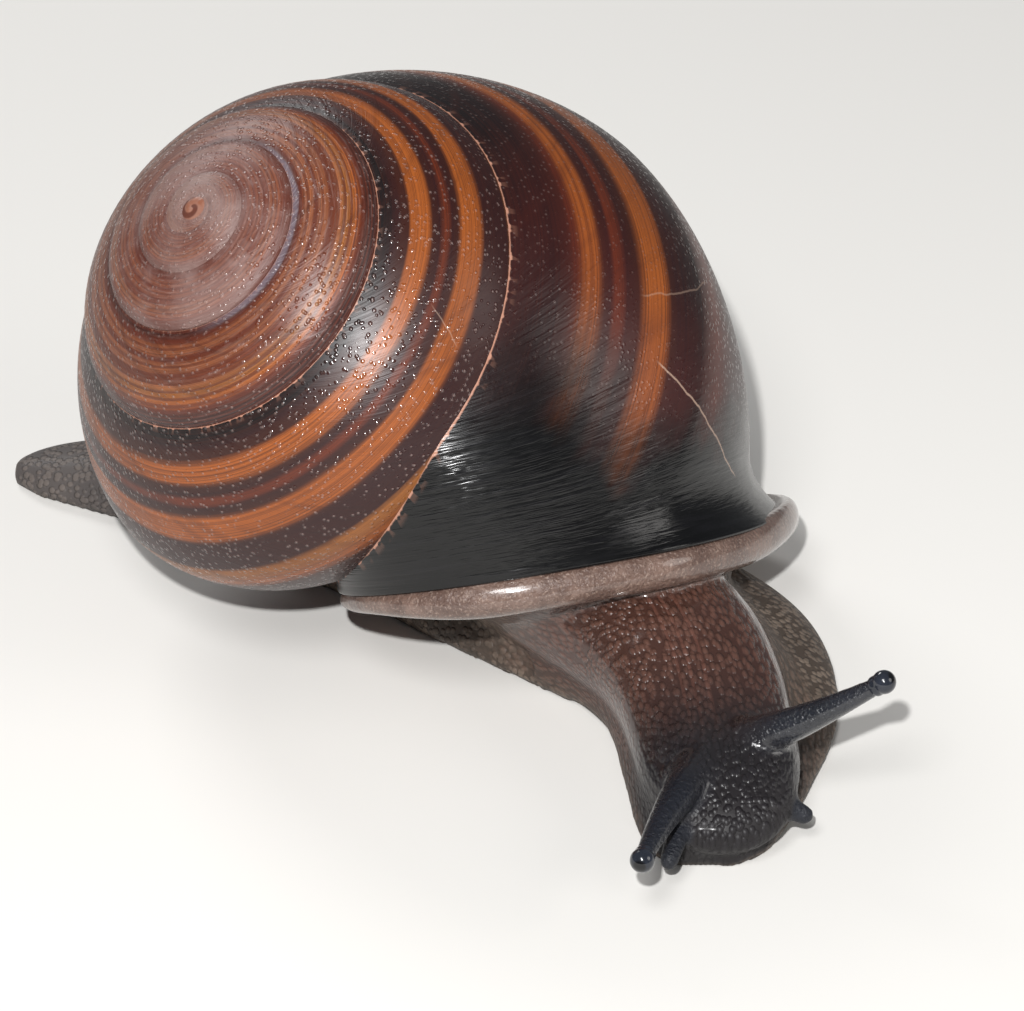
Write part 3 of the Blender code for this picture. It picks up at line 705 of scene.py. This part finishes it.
def shell_finish():
    f = Finish("banded_shell", IOR=1.49)
    turn, below, age, seam = (f.attribute(name) for name in ("turn", "below", "age", "seam"))
    where = f.place()
    wobble = (f.noise(f.vector(turn * 9.0, below * 0.22, 0.0), 1.0, 1.0) - 0.5) * 2.2
    place = (below + wobble) / BAND_SPAN
    main, last, old = f.ramp(place, MAIN_BANDS), f.ramp(place, LAST_BANDS), f.ramp(place, OLD_BANDS)
    colour = f.mix(f.step(turn, -0.75, -0.5), main, last)
    colour = f.mix(f.step(turn, -1.5, -1.9), colour, old)
    # fine spiral lines, darker and lighter
    lines = f.noise(f.vector(turn * 4.0, below * 1.5, 0.0), 1.0, 2.0, 0.65)
    fine = f.step(f.noise(f.vector(turn * 2.5, below * 3.0, 3.0), 1.0, 1.0), 0.52, 0.66)
    colour = f.mix(f.step(lines, 0.40, 0.62) * 0.55, colour, f.mix(0.65, colour, UMBER))
    colour = f.mix(fine * 0.5, colour, UMBER)
    threads = f.step((below * 1.45 + wobble * 1.3).sin(), 0.0, 0.7)
    colour = f.mix(threads * f.step(turn, -1.25, -1.7) * 0.70, colour, srgb(84, 36, 22))
    # faint browner clouds
    brown = f.noise(where, 90.0, 1.0)
    colour = f.mix(f.step(brown, 0.4, 0.7) * 0.25, colour, UMBER)
    # growth lines across the bands
    striae = f.noise(f.vector(age * 260.0, below * 0.05, 1.0), 1.0, 3.0, 0.65)
    broad = f.noise(f.vector(age * 46.0, below * 0.02, 7.0), 1.0, 1.0, 0.5)
    colour = f.mix(f.step(striae, 0.52, 0.8) * 0.30, colour, BLACK)
    colour = f.mix(f.step(broad, 0.5, 0.75) * 0.35, colour, UMBER)
    # the young whorls fade to mauve and carry a pale bloom
    young = f.step(turn, -2.2, -3.2)
    colour = f.mix(young * 0.66, colour, f.mix(threads * 0.7, MAUVE, srgb(78, 36, 28)))
    patch = f.noise(f.vector(turn * 22.0, below * 0.45, 2.0), 1.0, 3.0, 0.7)
    bloom = f.step(patch, 0.46, 0.80) * f.step(turn, -1.3, -2.9)
    bloom = bloom.most(f.step(f.noise(where, 500.0, 3.0, 0.7), 0.5, 0.85) * f.step(turn, -2.0, -3.3))
    colour = f.mix(bloom * 0.42, colour, BLOOM_AND_GLINT)
    haze = f.step(f.noise(where, 170.0, 2.0, 0.6), 0.44, 0.70) * young
    colour = f.mix(haze * 0.3, colour, BLOOM_AND_GLINT)
    worn = f.step(turn, -3.5, -4.4) * f.step(f.noise(where, 320.0, 3.0, 0.65), 0.30, 0.62)
    colour = f.mix(worn * 0.34, colour, srgb(158, 140, 134))
    # a worn lilac strip along the third suture
    strip = f.step(turn, -2.47, -2.36) * (1 - f.step(turn, -2.12, -2.0)) * (1 - f.step(seam + patch * 6.0, 6.0, 8.5))
    colour = f.mix(strip * 0.62, colour, f.mix(f.step(striae, 0.5, 0.62) * 0.7, LILAC, srgb(160, 152, 158)))
    # the last growth before the lip is black, with a painted grey sheen along its growth lines
    reach = 0.075 + 0.125 * f.step(below, 46.0, 8.0)
    drift = (f.noise(f.vector(age * 30.0, below * 0.08, 5.0), 1.0) - 0.5) * 0.06
    reddened = 1 - f.step(age + drift, reach * 1.0, reach * 1.9)
    colour = f.mix(reddened * 0.6, colour, f.mix(0.5, colour, srgb(70, 16, 14)))
    near_lip = 1 - f.step(age + drift, reach * 0.5, reach * 1.2)
    # painted sheen: the growth lines near the lip are painted a paler grey to stand in for their highlights
    painted_sheen = f.step(striae, 0.48, 0.66)
    colour = f.mix(near_lip, colour, f.mix(painted_sheen * 0.25, JET, SHEEN_GREY))
    # the pale thread along the suture, broken into ticks, and a few paler ticks beside it
    ticks = f.step(f.noise(f.vector(turn * 150.0, seam * 0.1, 9.0), 1.0, 1.0), 0.5, 0.62)
    thread = 1 - f.step(seam - ticks * 0.4, 0.30, 0.70)
    faint = 0.30 + 0.45 * f.step(turn, -1.7, -1.1)
    colour = f.mix(thread * faint * (1 - young), colour, THREAD)
    colour = f.mix(f.step(ticks, 0.7, 1.0) * (1 - f.step(seam, 1.6, 3.0)) * 0.10, colour, THREAD)
    # a few hair scratches
    for start, lean, low, high, strength in SCRATCHES:
        bend = (below - low) * lean + start + (f.noise(f.vector(below * 0.12, start * 50, 0.0), 1.0) - 0.5) * 0.006
        line = 1 - f.step((turn - bend).abs(), 0.0002, 0.0008)
        line = line * f.step(below, low, low + 3) * (1 - f.step(below, high - 3, high))
        colour = f.mix(line * strength, colour, srgb(196, 166, 146))
    # granules: fine smooth beads with paler tops, partly their own colour and partly a painted highlight standing in
    # for their glints; few near the lip
    beads = (1 - (f.cells(where, 3300.0) * 2.6) ** 2).most(0.0)
    strewn = f.step(f.noise(where, 260.0, 1.0), 0.12, 0.5) * (1 - near_lip) * (1 - 0.6 * f.step(turn, -0.75, -0.45))
    colour = f.mix(beads ** 3 * strewn * 0.42, colour, BLOOM_AND_GLINT)
    f.feed("Base Color", colour)
    dull = f.noise(where, 600.0, 1.0)
    rough = 0.33 + bloom * 0.12 + young * 0.06 + dull * 0.12 - near_lip * 0.15
    f.feed("Roughness", rough * (1 - f.step(beads * strewn, 0.0, 0.25) * 0.72))
    relief = striae * (0.019 + near_lip * 0.058) + broad * 0.036
    f.feed("Normal", f.bump(relief + beads * strewn * 0.030, 1.0, MM))
    return f.material


def nucleus_finish():
    f = Finish("apex_shell", Roughness=0.42)
    patch = f.noise(f.place(), 900.0, 4.0, 0.6)
    coil = f.step(f.attribute("coil"), -0.7, 0.1)
    colour = f.mix(f.step(patch, 0.4, 0.65), srgb(132, 78, 54), srgb(146, 104, 88))
    f.feed("Base Color", f.mix(coil, srgb(92, 50, 38), colour))
    f.feed("Normal", f.bump(f.cells(f.place(), 3200.0), 0.3, 0.0001))
    return f.material


def skin_finish():
    f = Finish("wet_skin", IOR=1.4, Coat_Roughness=0.12)
    where = f.place()
    collar, dark, ruddy = f.attribute("collar"), f.attribute("dark"), f.attribute("ruddy")
    length, side, feeler = f.attribute("length"), f.attribute("side"), f.attribute("feeler")
    beaded = f.attribute("beaded")
    height = f.node("ShaderNodeSeparateXYZ", None, {0: where}, 2) * 1000.0
    blotch = f.noise(where, 260.0, 2.0, 0.6)
    foot = f.mix(blotch, srgb(66, 57, 50), srgb(102, 88, 77))
    neck = f.mix(blotch, srgb(62, 38, 31), srgb(88, 56, 46))
    head = f.mix(blotch, srgb(22, 20, 22), srgb(40, 37, 40))
    stalk = f.mix(blotch, srgb(20, 22, 27), srgb(36, 38, 46))
    colour = f.mix(ruddy, foot, neck)
    colour = f.mix(dark, colour, f.mix(feeler, head, stalk))
    # wet tubercles: long beads on the neck, flat plates low on the foot, upright ridges at the nose
    along = f.vector(length * 1.9, side * 3.5, height * 3.5)
    warts = f.cells(along, 1.0)
    nose = f.attribute("nose")
    upright = f.cells(f.vector(length * 3.2, side * 3.2, height * 1.3), 1.0)
    warts = f.between(nose, warts, upright)
    pebble = f.cells(where, 2600.0)
    round_beads = (1 - (pebble * 1.7) ** 2).most(0.0)
    grain = f.noise(where, 4600.0, 2.0)
    bead = (1 - (warts * 1.55) ** 2).most(0.0)
    plate = 1 - f.step(pebble, 0.42, 0.62)
    fine = f.step(grain, 0.40, 0.64)
    upper = beaded.most(dark)
    relief = f.between(upper, plate * 0.45 + round_beads * 0.55, bead)
    relief = f.between(feeler, relief, fine * 0.35)
    relief = f.between(collar, relief, fine * 0.3)
    gap = (1 - relief) * (1 - feeler) * (1 - collar)
    colour = f.mix(gap * 0.5, colour, f.mix(0.75, colour, srgb(16, 11, 10)))
    pebbles = plate * (1 - upper) * f.step(blotch, 0.3, 0.6)
    colour = f.mix(pebbles * 0.30, colour, srgb(150, 134, 120))
    colour = f.mix((1 - f.step(length, 8.0, 20.0)) * 0.6, colour, f.mix(blotch, srgb(58, 56, 58), srgb(92, 88, 88)))
    colour = f.mix(bead * beaded * (1 - dark) * 0.16, colour, srgb(140, 106, 92))
    # long pale grooves down the middle of the neck
    grooves = (1 - f.step((side - 0.25 + blotch * 0.3).abs(), 0.05, 0.14)).most(
        1 - f.step((side - 0.80).abs(), 0.05, 0.12)).most(1 - f.step((side - 1.25 - blotch * 0.2).abs(), 0.04, 0.12))
    grooves = grooves * ruddy * (1 - dark) * (1 - collar) * f.step(height, 4.6, 5.4)
    colour = f.mix(grooves * 0.35, colour, srgb(112, 72, 60))
    # the collar: taupe, clouded and finely speckled
    speckle = f.step(f.noise(where, 7000.0, 2.0, 0.6), 0.52, 0.70)
    cloud = f.step(f.noise(where, 700.0, 2.0, 0.6), 0.35, 0.7)
    mantle = f.mix(cloud, srgb(88, 68, 60), srgb(112, 90, 80))
    colour = f.mix(collar, colour, f.mix(speckle * 0.6, mantle, srgb(150, 130, 118)))
    f.feed("Base Color", colour)
    crown = (1 - f.step(side, 4.2, 6.2)) * (1 - f.step(side * -1, 3.6, 4.6))
    wet = f.step(height, 2.2, 4.4) * (upper * crown.most(dark)).most(collar)
    f.feed("Coat Weight", (0.04 + 0.9 * wet + 0.06 * feeler) * (1 - nose * 0.8))
    f.feed("Roughness", 0.26 + 0.28 * (1 - wet) + blotch * 0.12 + collar * 0.10 - bead * upper * 0.08)
    f.feed("Normal", f.bump(relief - grooves * 0.4 + grain * 0.1, 1.0, SKIN_RELIEF))
    return f.material


def bulb_finish():
    f = Finish("eye_bulb", Roughness=0.16, IOR=1.42, Coat_Weight=0.5)
    eye = f.attribute("eye")
    cloud = f.noise(f.place(), 1800.0, 3.0)
    rind = f.mix(cloud, srgb(20, 22, 27), srgb(42, 46, 56))
    f.feed("Base Color", f.mix(f.step(eye, 0.80, 0.92), rind, srgb(8, 8, 11)))
    f.feed("Normal", f.bump(f.noise(f.place(), 5000.0, 2.0), 0.12, 0.00005))
    return f.material


def floor_finish():
    return Finish("pale_floor", Base_Color=(*FLOOR_COLOUR, 1.0), Roughness=1.0, Specular_IOR_Level=0.0).material


# ---- studio ----

def aim(thing, target):
    thing.rotation_euler = (Vector(target) * MM - thing.location).to_track_quat("-Z", "Y").to_euler()


def add_light(name, place, size, power, colour):
    lamp = bpy.data.lights.new(name, "AREA")
    lamp.shape = "DISK"
    lamp.size = size * MM
    lamp.energy = power
    lamp.color = colour
    made = bpy.data.objects.new(name, lamp)
    bpy.context.scene.collection.objects.link(made)
    made.location = Vector(place) * MM
    aim(made, LIT)


def make_studio():
    cam = bpy.data.cameras.new("view")
    cam.sensor_width = SENSOR
    cam.lens = LENS
    cam.clip_start, cam.clip_end = 0.01, 10.0
    camera = bpy.data.objects.new("view", cam)
    bpy.context.scene.collection.objects.link(camera)
    camera.location = Vector(VIEW_FROM) * MM
    aim(camera, VIEW_AT)
    bpy.context.scene.camera = camera
    bm = bmesh.new()
    bmesh.ops.create_grid(bm, x_segments=1, y_segments=1, size=FLOOR_HALF)
    bmesh.ops.translate(bm, verts=bm.verts, vec=(0, 0, -FLOOR_DROP))
    floor = new_piece("floor", bm)
    floor.data.materials.append(floor_finish())
    world = bpy.data.worlds.new("studio")
    world.use_nodes = True
    world.node_tree.nodes["Background"].inputs[0].default_value = SKY
    world.node_tree.nodes["Background"].inputs[1].default_value = SKY_STRENGTH
    bpy.context.scene.world = world
    bpy.context.scene.view_settings.view_transform = "Standard"
    for row in LIGHTS:
        add_light(*row)


def main():
    shell = make_shell()
    shell.data.materials.append(shell_finish())
    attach(shell, "root")
    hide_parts("shell_spire", "shell_body_whorl", "shell_lip")
    nucleus = make_nucleus()
    nucleus.data.materials.append(nucleus_finish())
    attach(nucleus, "root")
    skin = make_skin()
    skin.data.materials.append(skin_finish())
    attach(skin, "root")
    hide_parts(*FLESH_NODES)
    for side, spec in UPPER_FEELERS.items():
        bulb = make_bulb("eye_bulb_" + side, spec)
        bulb.data.materials.append(bulb_finish())
        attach(bulb, "root")
        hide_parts("eye_" + side)
    make_studio()


main()
